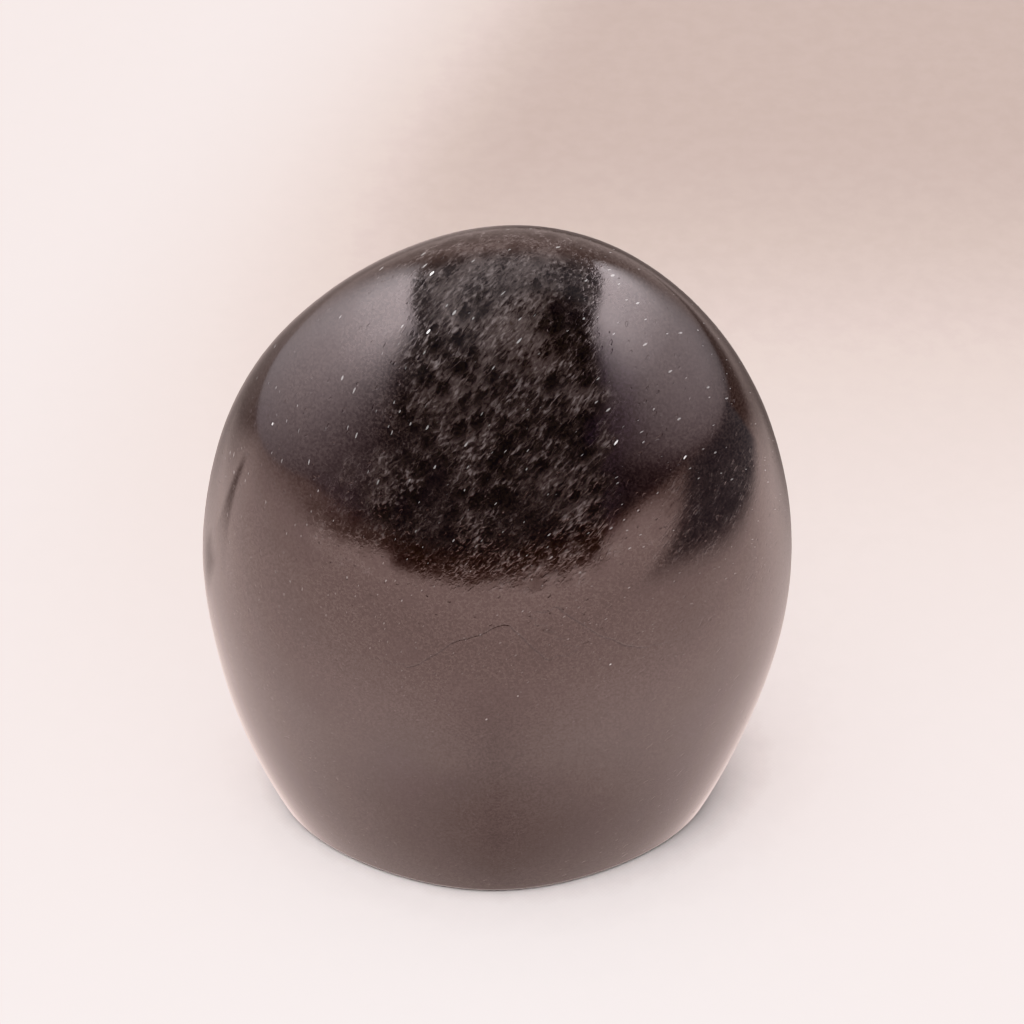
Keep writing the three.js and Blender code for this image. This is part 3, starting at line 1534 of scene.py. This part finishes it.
@dataclass(frozen=True)
class Studio:
    """The light round the stone.

    There are two tall soft windows with a dim gap between them, a lamp overhead, glowing
    painted reflections of the sheet and of dark patches on it, and a dim room.
    """

    window_tint: Triple = (1.0, 0.975, 1.01)
    foot_tint: Triple = (1.0, 0.89, 0.91)
    left_rise: tuple[Pair, ...] = (
        (0.0, 1.14),
        (0.165, 2.15),
        (0.248, 2.55),
        (0.413, 3.5),
        (0.62, 5.2),
        (0.826, 6.1),
        (1.0, 6.2),
    )
    right_rise: tuple[Pair, ...] = (
        (0.0, 0.5),
        (0.09, 0.6),
        (0.15, 1.75),
        (0.24, 2.35),
        (0.4, 2.75),
        (0.6, 4.7),
        (0.8, 6.0),
    )
    sheet_tint: Triple = (1.0, 0.815, 0.772)
    dark_patch_tint: Triple = (1.0, 1.0, 1.05)
    # Painted dark reflections: a patch to the right, a figure in front, a fold's shadow to the
    # left.
    cards: tuple[Card, ...] = (
        Card(
            "dark_patch_reflection",
            dark_patch_tint,
            ((70, -95), (500, -290), (800, 190), (155, 62)),
            glow=0.57,
            soft=0.1,
        ),
        Card(
            "figure_reflection_left",
            sheet_tint,
            ((-92, -158), (6, -203), (6, -252), (-140, -252)),
            glow=0.35,
            soft=0.1,
        ),
        Card(
            "figure_reflection_right",
            sheet_tint,
            ((-6, -203), (96, -157), (158, -252), (-6, -252)),
            glow=0.35,
            soft=0.1,
        ),
        Card(
            "fold_shadow",
            sheet_tint,
            ((-240, 28), (-72, 6), (-72, 30), (-240, 46)),
            glow=0.9,
            soft=0.45,
        ),
        Card(
            "fold_shadow_end",
            sheet_tint,
            ((-80, 18), (-42, 24), (-42, 50), (-80, 36)),
            glow=1.0,
            soft=0.45,
        ),
    )

    def windows(self) -> tuple[Window, Window]:
        """The left window and the right one, each with its glow.

        Returns:
            The two windows.
        """
        left = PanelGlow(
            self.window_tint,
            self.foot_tint,
            self.left_rise,
            soft_start=(0.5, 0.5),
            soft_end=(0.52, 0.27),
            soft_top=0.08,
        )
        right = PanelGlow(
            self.window_tint,
            self.foot_tint,
            self.right_rise,
            soft_start=(0.5, 0.2),
            soft_end=(0.61, 0.26),
            soft_top=0.1,
        )
        return (
            Window(
                "left_window",
                side=-1,
                forwards=(2.0, 1.0),
                backwards=(2.43, 1.63),
                top=1.28,
                glow=left,
            ),
            Window(
                "right_window",
                side=1,
                forwards=(2.2, 0.95),
                backwards=(1.5, 1.5),
                top=1.14,
                glow=right,
            ),
        )

    def build(self) -> list[bpy.types.Object]:
        """The windows, the painted sheet reflection, the cards, the lamp and the room.

        Returns:
            Everything but the room, which is the scene's world.
        """
        Room(self.sheet_tint).build()
        pieces = (*self.windows(), PaintedSheetReflection(self.sheet_tint), *self.cards, Lamp())
        return [piece.build() for piece in pieces]


@dataclass(frozen=True)
class StudioCamera:
    """A long lens that looks down on the front face. Lens and sensor are in millimetres."""

    aim: Triple = (1.6 * MM, 0.0, 42.27 * MM)
    distance: float = 380 * MM
    looking_down: float = math.radians(42)
    lens: float = 125.2
    sensor: float = 36.0
    nearest: float = 0.01
    farthest: float = 20.0

    def build(self) -> bpy.types.Object:
        """The camera, set back from its aim along the line it looks down.

        Returns:
            The camera.
        """
        data = bpy.data.cameras.new("studio_camera")
        data.lens = self.lens
        data.sensor_width = self.sensor
        data.clip_start = self.nearest
        data.clip_end = self.farthest
        made = bpy.data.objects.new("studio_camera", data)
        bpy.context.scene.collection.objects.link(made)
        back = Vector((0.0, -math.cos(self.looking_down), math.sin(self.looking_down)))
        made.location = Vector(self.aim) + back * self.distance
        made.rotation_euler = back.to_track_quat("Z", "Y").to_euler()
        bpy.context.scene.camera = made
        return made


def set_tones() -> None:
    """Shows the scene's light with clean colours and soft highlights."""
    bpy.context.scene.view_settings.view_transform = "Khronos PBR Neutral"
    bpy.context.scene.view_settings.look = "None"


def main() -> None:
    """Builds the stone, the stage, the light and the camera."""
    logging.basicConfig(level=logging.INFO, format="%(message)s")
    stone = Stone()
    polished = stone.build()
    stone.dress(polished, TourmalinePolish())
    log.info("%s: %d faces", polished.name, len(polished.data.polygons))
    for made in (Floor().build(), *Studio().build()):
        log.info("stage: %s", made.name)
    log.info("camera: %s", StudioCamera().build().name)
    set_tones()


if __name__ == "__main__":
    main()
